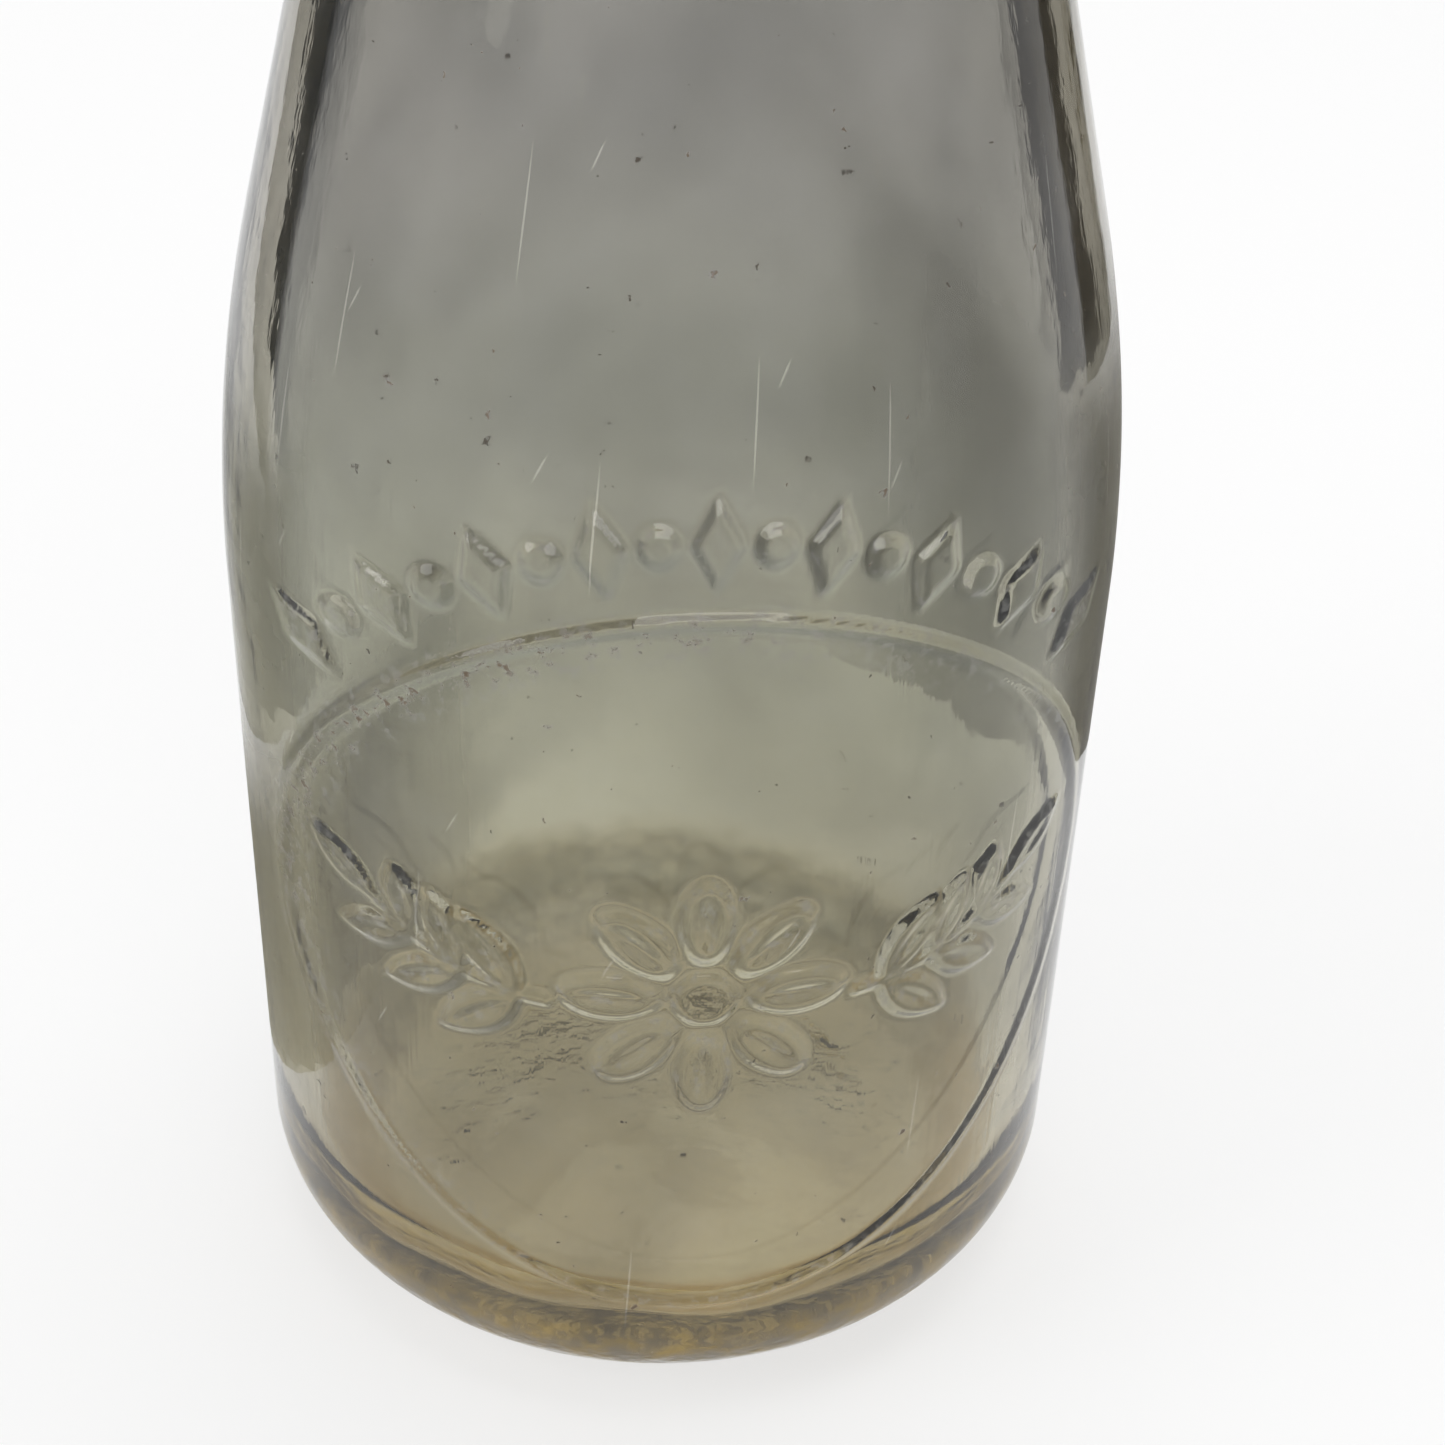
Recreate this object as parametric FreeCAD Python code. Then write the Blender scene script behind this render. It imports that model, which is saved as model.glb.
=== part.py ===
import FreeCAD, Part
import math
import os

# Half-pint milk bottle of pressed and blown glass, closed by a waxed paperboard plug.
# Millimetres. +Z is up, the origin is the centre of the ring that the bottle stands on,
# and -Y is the front, which carries the raised ring.

# Bottle, outside
bottle_height = 139.7
body_radius = 32.0
heel_radius = 9.5
bearing_width = 4.0
push_up_height = 2.4
push_up_fillet = 2.0
shoulder_radius = 105.0
shoulder_taper = 14.4  # degrees between the shoulder's cone and the axis
neck_sweep_radius = 45.0
neck_length = 10.8

# Bottle, inside
wall = 3.8
floor_thickness = 6.0
floor_rise = 1.6
inner_heel_radius = 7.0

# Finish: the rolled lip, with the seat for the cap inside it
lip_wall = 4.66
lip_land = 6.0
lip_cove_radius = 3.0
lip_bead_radius = 3.2
rim_flat = 0.3
mouth_rounding = 1.2
seat_depth = 6.35
seat_width = 2.34

# Raised ring on the front
ring_margin = 3.1
ring_width = 0.9
ring_height = 0.5
ring_centre_height = 40.65

# Paperboard cap with its pull tab
cap_radius = 20.64
cap_thickness = 1.3
cap_edge_rounding = 0.25
cap_clearance = 0.3
tab_width = 11.0
tab_thickness = 0.5
tab_corner_radius = 3.0
foot_length = 9.0
flap_length = 15.0

# Staple through the tab's foot and the cap
wire_radius = 0.3
staple_span = 6.4
staple_bend_radius = 0.45
clinch_length = 2.4
staple_clearance = 0.12
staple_setback = 4.6  # from the tab's crease to the wire

# Worked out from the sizes above
taper = math.radians(shoulder_taper)
mouth_radius = cap_radius + cap_clearance
throat_radius = mouth_radius - seat_width
neck_radius = throat_radius + wall
lip_radius = mouth_radius + lip_wall
lip_rounding = lip_wall - rim_flat - mouth_rounding
seat_height = bottle_height - seat_depth
cove_angle = math.acos(1 - (lip_radius - neck_radius) / (lip_cove_radius + lip_bead_radius))
lip_bottom = bottle_height - lip_rounding - lip_land
neck_top = lip_bottom - (lip_cove_radius + lip_bead_radius) * math.sin(cove_angle)
neck_base = neck_top - neck_length
sweep_radii = shoulder_radius + neck_sweep_radius
cone_drop = body_radius - neck_radius - sweep_radii * (1 - math.cos(taper))
cylinder_top = neck_base - sweep_radii * math.sin(taper) - cone_drop / math.tan(taper)
cap_top = seat_height + cap_thickness
tab_top = cap_top + tab_thickness

z_axis = FreeCAD.Vector(0, 0, 1)


def at(r, z):
    # A point of the half section, r out from the axis and z up.
    return FreeCAD.Vector(r, 0, z)


def line(start, end):
    return Part.LineSegment(at(*start), at(*end)).toShape()


def on_circle(centre, radius, angle):
    return (centre[0] + radius * math.cos(angle), centre[1] + radius * math.sin(angle))


def arc(centre, radius, start, end):
    # An arc of the half section between two angles, which turn from +X towards +Z.
    points = [at(*on_circle(centre, radius, angle)) for angle in (start, (start + end) / 2, end)]
    return Part.Arc(*points).toShape()


def closed_face(edges):
    return Part.Face(Part.Wire(Part.__sortEdges__(edges)))


def domed_floor(fillet_centre, fillet_radius, rise, blend_from):
    # A dome about the axis, with a fillet that leaves it smoothly for the level at the fillet's foot.
    reach, height = fillet_centre
    drop = fillet_radius - rise
    radius = (reach**2 + drop**2 - fillet_radius**2) / (2 * rise)
    top = height - fillet_radius + rise
    lean = math.asin(reach / (radius + fillet_radius))
    dome = arc((0, top - radius), radius, math.pi / 2, math.pi / 2 - lean)
    fillet = arc(fillet_centre, fillet_radius, -math.pi / 2 - lean, blend_from)
    return [dome, fillet], top


def side_wall(offset, foot):
    # The side from the height foot up to the neck, moved out from the glass's outer face by offset.
    shoulder_centre = (body_radius - shoulder_radius, cylinder_top)
    neck_centre = (neck_radius + neck_sweep_radius, neck_base)
    shoulder_size = shoulder_radius + offset
    neck_size = neck_sweep_radius - offset
    cone_start = on_circle(shoulder_centre, shoulder_size, taper)
    cone_end = on_circle(neck_centre, neck_size, math.pi + taper)
    return [
        line((body_radius + offset, foot), (body_radius + offset, cylinder_top)),
        arc(shoulder_centre, shoulder_size, 0, taper),
        line(cone_start, cone_end),
        arc(neck_centre, neck_size, math.pi + taper, math.pi),
    ]


def outside():
    # Underside, heel, side and lip, from the axis out and up to the rim.
    heel_centre = (body_radius - heel_radius, heel_radius)
    bearing_inner = heel_centre[0] - bearing_width
    fillet_centre = (bearing_inner, push_up_fillet)
    underside, dome_top = domed_floor(fillet_centre, push_up_fillet, push_up_height, -math.pi / 2)
    bearing = line((bearing_inner, 0), (heel_centre[0], 0))
    heel = arc(heel_centre, heel_radius, -math.pi / 2, 0)
    neck = line((neck_radius, neck_base), (neck_radius, neck_top))
    cove = arc((neck_radius + lip_cove_radius, neck_top), lip_cove_radius, math.pi, math.pi - cove_angle)
    bead_centre = (lip_radius - lip_bead_radius, lip_bottom)
    bead = arc(bead_centre, lip_bead_radius, -cove_angle, 0)
    land_top = bottle_height - lip_rounding
    land = line((lip_radius, lip_bottom), (lip_radius, land_top))
    rounding = arc((lip_radius - lip_rounding, land_top), lip_rounding, 0, math.pi / 2)
    edges = underside + [bearing, heel] + side_wall(0, heel_radius) + [neck, cove, bead, land, rounding]
    return edges, dome_top


def inside():
    # Floor, inner side, throat, cap seat and mouth, from the axis out and up to the rim.
    inner_radius = body_radius - wall
    heel_centre = (inner_radius - inner_heel_radius, floor_thickness + inner_heel_radius)
    floor, floor_top = domed_floor(heel_centre, inner_heel_radius, floor_rise, 0)
    throat = line((throat_radius, neck_base), (throat_radius, seat_height))
    seat = line((throat_radius, seat_height), (mouth_radius, seat_height))
    mouth_top = bottle_height - mouth_rounding
    mouth = line((mouth_radius, seat_height), (mouth_radius, mouth_top))
    rounding = arc((mouth_radius + mouth_rounding, mouth_top), mouth_rounding, math.pi, math.pi / 2)
    edges = floor + side_wall(-wall, heel_centre[1]) + [throat, seat, mouth, rounding]
    return edges, floor_top


def raised_ring():
    # A round tube along Y, cut off at a height of ring_height over the glass and rooted in its wall.
    outer_radius = body_radius - ring_margin
    reach = body_radius + 2 * ring_height
    centre = FreeCAD.Vector(0, 0, ring_centre_height)
    forward = FreeCAD.Vector(0, -1, 0)
    tube = Part.makeCylinder(outer_radius, reach, centre, forward)
    tube = tube.cut(Part.makeCylinder(outer_radius - ring_width, reach, centre, forward))
    root = -wall / 2
    foot = [line((body_radius + root, heel_radius), (body_radius + ring_height, heel_radius))]
    head = [line((neck_radius + root, neck_base), (neck_radius + ring_height, neck_base))]
    band = closed_face(foot + side_wall(ring_height, heel_radius) + head + side_wall(root, heel_radius))
    return tube.common(band.revolve(FreeCAD.Vector(), z_axis, -180))


def glass_bottle():
    outer, dome_top = outside()
    inner, floor_top = inside()
    rim = line((mouth_radius + mouth_rounding, bottle_height), (lip_radius - lip_rounding, bottle_height))
    axis = line((0, dome_top), (0, floor_top))
    section = closed_face(outer + [rim] + inner + [axis])
    glass = section.revolve(FreeCAD.Vector(), z_axis, 360)
    return glass.fuse(raised_ring()).removeSplitter()


def staple_holes(bottom, top):
    # The two holes that the staple's legs pass through.
    holes = []
    for side in (-1, 1):
        foot = FreeCAD.Vector(side * staple_span / 2, -staple_setback, bottom)
        holes.append(Part.makeCylinder(wire_radius + staple_clearance, top - bottom, foot))
    return holes


def cap_disc():
    disc = Part.makeCylinder(cap_radius, cap_thickness, at(0, seat_height))
    rims = [edge for edge in disc.Edges if edge.Closed]
    disc = disc.makeFillet(cap_edge_rounding, rims)
    return disc.cut(staple_holes(seat_height, cap_top))


def tab_strip(crease, end, corner_radius):
    # A flat strip from the crease to its free end, whose two corners are rounded.
    length = abs(end - crease)
    low = FreeCAD.Vector(-tab_width / 2, min(crease, end), cap_top)
    strip = Part.makeBox(tab_width, length, tab_thickness, low)
    corners = []
    for edge in strip.Edges:
        upright = abs(edge.tangentAt(edge.FirstParameter).z) > 0.5
        if upright and abs(edge.CenterOfMass.y - end) < abs(edge.CenterOfMass.y - crease):
            corners.append(edge)
    return strip.makeFillet(corner_radius, corners)


def pull_tab_foot():
    foot = tab_strip(0, -foot_length, tab_corner_radius)
    return foot.cut(staple_holes(cap_top, tab_top))


def pull_tab_flap():
    return tab_strip(0, flap_length, tab_corner_radius)


def tab_staple():
    # Bent wire: the crown lies on the tab, the legs go through, the ends are clinched under the cap.
    half = staple_span / 2
    bend = staple_bend_radius
    crown = tab_top + staple_clearance + wire_radius
    clinch = seat_height - staple_clearance - wire_radius
    inset = half - bend
    right = [
        line((half - clinch_length, clinch), (inset, clinch)),
        arc((inset, clinch + bend), bend, -math.pi / 2, 0),
        line((half, clinch + bend), (half, crown - bend)),
        arc((inset, crown - bend), bend, 0, math.pi / 2),
    ]
    left = [edge.mirror(FreeCAD.Vector(), FreeCAD.Vector(1, 0, 0)) for edge in right]
    path = Part.Wire(Part.__sortEdges__(right + [line((inset, crown), (-inset, crown))] + left))
    start = at(half - clinch_length, clinch)
    section = Part.Wire(Part.makeCircle(wire_radius, start, FreeCAD.Vector(1, 0, 0)))
    wire = path.makePipeShell([section], True, False)
    wire.translate(FreeCAD.Vector(0, -staple_setback, 0))
    return wire


pieces = {
    "glass_bottle": glass_bottle,
    "cap_disc": cap_disc,
    "pull_tab_foot": pull_tab_foot,
    "pull_tab_flap": pull_tab_flap,
    "tab_staple": tab_staple,
}

os.makedirs("parts", exist_ok=True)
for name, make in pieces.items():
    make().exportStep(f"parts/{name}.step")
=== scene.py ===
import math
import bpy
import numpy as np
from mathutils import Matrix, Vector


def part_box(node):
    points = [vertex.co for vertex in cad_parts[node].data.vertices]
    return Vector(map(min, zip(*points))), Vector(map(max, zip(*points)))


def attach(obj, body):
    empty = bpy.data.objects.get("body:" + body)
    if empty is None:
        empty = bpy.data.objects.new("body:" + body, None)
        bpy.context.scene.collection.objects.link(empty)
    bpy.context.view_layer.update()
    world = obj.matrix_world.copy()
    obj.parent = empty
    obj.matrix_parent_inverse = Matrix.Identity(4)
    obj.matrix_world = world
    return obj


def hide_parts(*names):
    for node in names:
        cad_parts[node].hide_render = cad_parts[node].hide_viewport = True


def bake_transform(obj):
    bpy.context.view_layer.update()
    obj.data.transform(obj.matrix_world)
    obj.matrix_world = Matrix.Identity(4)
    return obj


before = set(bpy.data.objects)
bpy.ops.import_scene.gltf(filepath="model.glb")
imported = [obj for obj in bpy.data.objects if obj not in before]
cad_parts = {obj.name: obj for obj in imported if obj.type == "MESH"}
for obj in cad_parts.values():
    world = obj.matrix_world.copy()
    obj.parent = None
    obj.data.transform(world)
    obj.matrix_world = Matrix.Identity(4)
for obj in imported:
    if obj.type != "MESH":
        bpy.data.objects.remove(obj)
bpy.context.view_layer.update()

mm = 0.001
scene = bpy.context.scene


# Camera: where the photographer stood, worked back from the bottle's outline
shot = {
    "levelDistance": 151.6 * mm,   # from the bottle's axis
    "height": 140.1 * mm,
    "roundBottle": 5.2,            # degrees to the left of the front
    "aimRight": 1.62,              # degrees right of the axis
    "aimDown": 32.98,
    "roll": 2.24,
    "focalPixels": 2346.0,
    "framePixels": 1445,
    "sensorWidth": 36.0,
}


def makeCamera():
    around = math.radians(shot["roundBottle"])
    yaw = around + math.radians(shot["aimRight"])
    down = math.radians(shot["aimDown"])
    roll = math.radians(shot["roll"])
    place = Vector((-math.sin(around), -math.cos(around), 0)) * shot["levelDistance"]
    place.z = shot["height"]
    ahead = Vector((math.sin(yaw) * math.cos(down), math.cos(yaw) * math.cos(down), -math.sin(down)))
    levelRight = ahead.cross(Vector((0, 0, 1))).normalized()
    levelUp = levelRight.cross(ahead)
    right = math.cos(roll) * levelRight + math.sin(roll) * levelUp
    up = math.cos(roll) * levelUp - math.sin(roll) * levelRight
    turned = Matrix((right, up, -ahead)).transposed()
    data = bpy.data.cameras.new("photoCamera")
    data.sensor_width = shot["sensorWidth"]
    data.lens = shot["focalPixels"] / shot["framePixels"] * shot["sensorWidth"]
    data.clip_start = 10 * mm
    camera = bpy.data.objects.new("photoCamera", data)
    camera.matrix_world = Matrix.Translation(place) @ turned.to_4x4()
    scene.collection.objects.link(camera)
    scene.camera = camera
    print("camera ready, lens", round(data.lens, 2))


makeCamera()


# Mesh helpers

def arcPoints(centre, radius, start, end, count):
    # points of a circle in the half section: centre + radius * (cos a, sin a)
    a = np.linspace(start, end, count)
    return np.column_stack((centre[0] + radius * np.cos(a), centre[1] + radius * np.sin(a)))


def linePoints(start, end, count):
    return np.linspace(start, end, count)


def chain(runs):
    # runs follow each other, and each starts on the last point of the one before
    return np.vstack([runs[0]] + [run[1:] for run in runs[1:]])


def profileNormals(profile):
    # a quarter turn to the right of the way the half section runs
    step = np.gradient(profile, axis=0)
    normal = np.column_stack((step[:, 1], -step[:, 0]))
    return normal / np.linalg.norm(normal, axis=1, keepdims=True)


def putMesh(name, vertices, faces):
    mesh = bpy.data.meshes.new(name)
    mesh.from_pydata(vertices.tolist(), [], faces)
    mesh.polygons.foreach_set("use_smooth", np.ones(len(mesh.polygons), dtype=bool))
    mesh.update()
    piece = bpy.data.objects.new(name, mesh)
    scene.collection.objects.link(piece)
    return piece


def turnedMesh(name, radius, height, angle):
    # a half section turned about Z: (radius sin a, -radius cos a, height), with a pole at both ends
    rows, columns = radius.shape
    x = radius * np.sin(angle)
    y = -radius * np.cos(angle)
    grid = np.stack((x, y, height), axis=-1)
    inner = grid[1:-1].reshape(-1, 3)
    poles = np.array([[0, 0, height[0, 0]], [0, 0, height[-1, 0]]])
    index = np.arange((rows - 2) * columns).reshape(rows - 2, columns)
    along = np.roll(index, -1, axis=1)
    quads = np.stack((index[:-1], along[:-1], along[1:], index[1:]), axis=-1).reshape(-1, 4)
    firstPole = np.full(columns, len(inner))
    lastPole = firstPole + 1
    firstFan = np.column_stack((firstPole, along[0], index[0]))
    lastFan = np.column_stack((lastPole, index[-1], along[-1]))
    faces = quads.tolist() + firstFan.tolist() + lastFan.tolist()
    return putMesh(name, np.vstack((inner, poles)), faces)


# Glass bottle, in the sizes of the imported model
glassLow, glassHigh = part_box("glass_bottle")
capLow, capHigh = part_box("cap_disc")
bottle = {
    "height": glassHigh.z,
    "radius": glassHigh.x,
    "heelRadius": 9.5 * mm,
    "bearingWidth": 4.0 * mm,
    "pushUp": 2.4 * mm,
    "pushUpFillet": 2.0 * mm,
    "shoulderRadius": 105 * mm,
    "taper": math.radians(14.4),
    "neckSweep": 45 * mm,
    "neckLength": 10.8 * mm,
    "wall": 3.8 * mm,
    "floorThickness": 6.0 * mm,
    "floorRise": 1.6 * mm,
    "innerHeelRadius": 7.0 * mm,
    "lipWall": 4.66 * mm,
    "lipLand": 6.0 * mm,
    "lipCove": 3.0 * mm,
    "lipBead": 3.2 * mm,
    "rimFlat": 0.3 * mm,
    "mouthRounding": 1.2 * mm,
    "seatHeight": capLow.z,
    "seatWidth": 2.34 * mm,
    "seatCorner": 0.4 * mm,
    "capGap": 0.3 * mm,
    "panelTop": 78 * mm,           # the fine rows carry the relief up to here
    "panelReach": 30.6 * mm,       # and the fine columns reach this far to each side
    "panelStep": 0.34 * mm,
    "rowStep": 2.0 * mm,
    "backColumns": 64,
    "outerSag": 0.05 * mm,         # slow unevenness of the outer face, always inwards
    "innerWave": 0.30 * mm,        # uneven wall inside, as blown glass has
    "floorWave": 0.28 * mm,        # and an uneven floor
    "floorWaveTop": 12 * mm,       # which ends at this height
    "floorWaveFade": 3 * mm,
    "calmReach": 20 * mm,          # the inner wave dies away over this much, towards the neck and the axis
}
mouthRadius = capHigh.x + bottle["capGap"]
throatRadius = mouthRadius - bottle["seatWidth"]
neckRadius = throatRadius + bottle["wall"]
lipRadius = mouthRadius + bottle["lipWall"]
lipRounding = bottle["lipWall"] - bottle["rimFlat"] - bottle["mouthRounding"]
lipTurn = math.acos(1 - (lipRadius - neckRadius) / (bottle["lipCove"] + bottle["lipBead"]))
lipBottom = bottle["height"] - lipRounding - bottle["lipLand"]
neckTop = lipBottom - (bottle["lipCove"] + bottle["lipBead"]) * math.sin(lipTurn)
neckBase = neckTop - bottle["neckLength"]
sweepRadii = bottle["shoulderRadius"] + bottle["neckSweep"]
coneDrop = bottle["radius"] - neckRadius - sweepRadii * (1 - math.cos(bottle["taper"]))
cylinderTop = neckBase - sweepRadii * math.sin(bottle["taper"]) - coneDrop / math.tan(bottle["taper"])


def sideRadius(z, offset):
    # straight side, shoulder arc, cone and neck arc, each moved out by offset along its own normal
    taper = bottle["taper"]
    shoulder = bottle["shoulderRadius"] + offset
    sweep = bottle["neckSweep"] - offset
    arcTop = cylinderTop + shoulder * math.sin(taper)
    sweepBottom = neckBase - sweep * math.sin(taper)
    onArc = np.clip(z - cylinderTop, 0, shoulder * math.sin(taper))
    arcRadius = bottle["radius"] - bottle["shoulderRadius"] + np.sqrt(shoulder**2 - onArc**2)
    cone = np.clip(z - arcTop, 0, sweepBottom - arcTop) * math.tan(taper)
    onSweep = np.clip(neckBase - z, 0, sweep * math.sin(taper))
    sweepRadius = neckRadius + bottle["neckSweep"] - np.sqrt(sweep**2 - onSweep**2)
    return np.where(z < sweepBottom, arcRadius - cone, sweepRadius)


def dome(reach, fillet, level, rise, fromEnd, domeCount, filletCount):
    # a dome over the axis, running smoothly into a fillet whose lowest point is at level
    drop = fillet - rise
    radius = (reach**2 + drop**2 - fillet**2) / (2 * rise)
    lean = math.asin(reach / (radius + fillet))
    top = arcPoints((0, level + rise - radius), radius, math.pi / 2, math.pi / 2 - lean, domeCount)
    foot = arcPoints((reach, level + fillet), fillet, -math.pi / 2 - lean, fromEnd, filletCount)
    return [top, foot]


def outerRuns():
    # underside, bearing ring, heel, and the side in fine rows and then coarse ones
    heelCentre = (bottle["radius"] - bottle["heelRadius"], bottle["heelRadius"])
    bearing = heelCentre[0] - bottle["bearingWidth"]
    under = dome(bearing, bottle["pushUpFillet"], 0, bottle["pushUp"], -math.pi / 2, 12, 6)
    stand = linePoints((bearing, 0), (heelCentre[0], 0), 4)
    heel = arcPoints(heelCentre, bottle["heelRadius"], -math.pi / 2, 0, 18)
    panelRows = int((bottle["panelTop"] - bottle["heelRadius"]) / bottle["panelStep"])
    panelZ = np.linspace(bottle["heelRadius"], bottle["panelTop"], panelRows)
    shoulderRows = int((neckBase - bottle["panelTop"]) / bottle["rowStep"])
    shoulderZ = np.linspace(bottle["panelTop"], neckBase, shoulderRows)
    panel = np.column_stack((sideRadius(panelZ, 0), panelZ))
    shoulder = np.column_stack((sideRadius(shoulderZ, 0), shoulderZ))
    return under + [stand, heel, panel, shoulder]


def lipRuns():
    # neck, cove, bead and land outside, then over the rim and into the mouth
    top = bottle["height"]
    coveRadius, beadRadius, rounding = bottle["lipCove"], bottle["lipBead"], bottle["mouthRounding"]
    neck = linePoints((neckRadius, neckBase), (neckRadius, neckTop), 7)
    cove = arcPoints((neckRadius + coveRadius, neckTop), coveRadius, math.pi, math.pi - lipTurn, 7)
    bead = arcPoints((lipRadius - beadRadius, lipBottom), beadRadius, -lipTurn, 0, 7)
    land = linePoints((lipRadius, lipBottom), (lipRadius, top - lipRounding), 4)
    outer = arcPoints((lipRadius - lipRounding, top - lipRounding), lipRounding, 0, math.pi / 2, 9)
    inset = mouthRadius + rounding
    rim = linePoints((lipRadius - lipRounding, top), (inset, top), 2)
    inner = arcPoints((inset, top - rounding), rounding, math.pi / 2, math.pi, 6)
    return [neck, cove, bead, land, outer, rim, inner]


def innerRuns():
    # mouth, cap seat, throat and side, down to the floor's middle
    seat, corner = bottle["seatHeight"], bottle["seatCorner"]
    top = bottle["height"] - bottle["mouthRounding"]
    mouth = linePoints((mouthRadius, top), (mouthRadius, seat + corner), 4)
    hollow = arcPoints((mouthRadius - corner, seat + corner), corner, 0, -math.pi / 2, 4)
    ledge = linePoints((mouthRadius - corner, seat), (throatRadius + corner, seat), 3)
    edge = arcPoints((throatRadius + corner, seat - corner), corner, math.pi / 2, math.pi, 4)
    throat = linePoints((throatRadius, seat - corner), (throatRadius, neckBase), 9)
    wall = bottle["wall"]
    heelCentre = (bottle["radius"] - wall - bottle["innerHeelRadius"],
                  bottle["floorThickness"] + bottle["innerHeelRadius"])
    sideRows = int((neckBase - heelCentre[1]) / bottle["rowStep"])
    sideZ = np.linspace(neckBase, heelCentre[1], sideRows)
    side = np.column_stack((sideRadius(sideZ, -wall), sideZ))
    crown, heel = dome(heelCentre[0], bottle["innerHeelRadius"], bottle["floorThickness"],
                       bottle["floorRise"], 0, 14, 12)
    return [mouth, hollow, ledge, edge, throat, side, heel[::-1], crown[::-1]]


def columnAngles():
    # even steps across the front as seen square on, then even turns round the back
    count = 2 * int(bottle["panelReach"] / bottle["panelStep"]) + 1
    front = np.arcsin(np.linspace(-1, 1, count) * bottle["panelReach"] / bottle["radius"])
    back = np.linspace(front[-1], 2 * math.pi + front[0], bottle["backColumns"] + 2)[1:-1]
    return np.concatenate((front, back))


# Raised relief on the front: a ring, a daisy with two leafy sprigs, and an arc of lozenges and beads
relief = {
    "centreHeight": 40.65 * mm,
    "ringRadius": 28.45 * mm,
    "ringSpread": 0.75 * mm,
    "ringHeight": 0.42 * mm,
    "wornMiddle": 0.8,             # share of the ring's height at its middle, and its rise in one radius
    "wornSlope": 0.4,
    "wornLeast": 0.5,
    "figureHeight": 0.44 * mm,
    "bevel": 0.80 * mm,
    "petals": 8,
    "petalCentre": 6.3 * mm,
    "petalHalfLength": 3.2 * mm,
    "petalHalfWidth": 1.75 * mm,
    "buttonRadius": 2.1 * mm,
    "veinSpread": 0.7 * mm,
    "veinDepth": 0.5,              # of the figure's height
    "stemStart": 10.0 * mm,
    "stemEnd": 22.0 * mm,
    "stemLow": -1.0 * mm,
    "stemRise": 0.030 / mm,        # height gained with the square of the way out
    "stemSpread": 0.8 * mm,
    "stemShare": 0.8,              # of the leaves' height
    "tipBack": 0.5 * mm,           # the last leaf starts this far before the stem's end
    "leafStations": (12.0 * mm, 15.6 * mm, 19.0 * mm),
    "leafLengths": (7.0 * mm, 6.2 * mm, 5.4 * mm),
    "leafWidth": 0.42,             # of its length
    "leafSplay": math.radians(48),
    "arcRadius": 33.3 * mm,
    "arcSpan": math.radians(50),
    "arcCount": 17,
    "lozengeHalfWidth": 1.5 * mm,
    "lozengeHalfHeight": 2.7 * mm,
    "beadRadius": 1.15 * mm,
    "sideGain": 1.7,               # towards the sides the height falls to gain times facing, less loss
    "sideLoss": 0.5,
    "sideLeast": 0.3,
    "dirtReach": 2.6 * mm,
    "edgeDirt": 0.45,
}


def ridge(distance, spread):
    # a rounded ridge: half of one plus the cosine, falling to nothing at spread
    return 0.5 + 0.5 * np.cos(math.pi * np.clip(np.abs(distance) / spread, 0, 1))


def plateau(distance):
    # flat on top where distance is well below zero, with a rounded bevel along its edge
    bevel = relief["bevel"]
    return 0.5 - 0.5 * np.cos(math.pi * np.clip(0.5 - distance / bevel, 0, 1))


def daisy(u, v):
    # one petal is an ellipse on its own spoke; the spokes fold the plane into equal wedges
    away = np.hypot(u, v)
    wedge = 2 * math.pi / relief["petals"]
    turn = np.mod(np.arctan2(v, u) + wedge / 2, wedge) - wedge / 2
    out, across = away * np.cos(turn), away * np.sin(turn)
    lengthwise = (out - relief["petalCentre"]) / relief["petalHalfLength"]
    reach = np.hypot(lengthwise, across / relief["petalHalfWidth"])
    petal = plateau((reach - 1) * relief["petalHalfWidth"])
    vein = ridge(across, relief["veinSpread"]) * ridge(lengthwise, 1.0)
    button = plateau(away - relief["buttonRadius"])
    return np.maximum(petal - relief["veinDepth"] * vein, button)


def leaf(u, v, start, angle, length):
    # a leaf from its stalk to its tip: its half width falls off from the middle as one minus the square
    du, dv = u - start[0], v - start[1]
    along = (du * math.cos(angle) + dv * math.sin(angle)) / length
    across = dv * math.cos(angle) - du * math.sin(angle)
    half = 0.5 * relief["leafWidth"] * length
    blade = plateau(np.abs(across) - half * (1 - (2 * along - 1) ** 2))
    blade = np.where(np.abs(2 * along - 1) < 1.3, blade, 0)
    vein = ridge(across, relief["veinSpread"]) * ridge(2 * along - 1, 1.0)
    return blade * (1 - relief["veinDepth"] * vein)


def stemHeight(out):
    # a parabola from the stem's inner end
    return relief["stemLow"] + relief["stemRise"] * (out - relief["stemStart"]) ** 2


def sprig(u, v):
    # the same branch on both sides: a stem that curves up, with leaves in pairs and one at its end
    out = np.abs(u)
    slope = 2 * relief["stemRise"] * (out - relief["stemStart"])
    stem = ridge((v - stemHeight(out)) / np.sqrt(1 + slope**2), relief["stemSpread"])
    onStem = (out > relief["stemStart"]) & (out < relief["stemEnd"])
    height = relief["stemShare"] * np.where(onStem, stem, 0)
    for station, length in zip(relief["leafStations"], relief["leafLengths"]):
        lean = math.atan(2 * relief["stemRise"] * (station - relief["stemStart"]))
        for side in (-1, 1):
            start = (station, stemHeight(station))
            height = np.maximum(height, leaf(out, v, start, lean + side * relief["leafSplay"], length))
    tipLean = math.atan(2 * relief["stemRise"] * (relief["stemEnd"] - relief["stemStart"]))
    tip = relief["stemEnd"] - relief["tipBack"]
    return np.maximum(height, leaf(out, v, (tip, stemHeight(tip)), tipLean, relief["leafLengths"][-1]))


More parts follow.
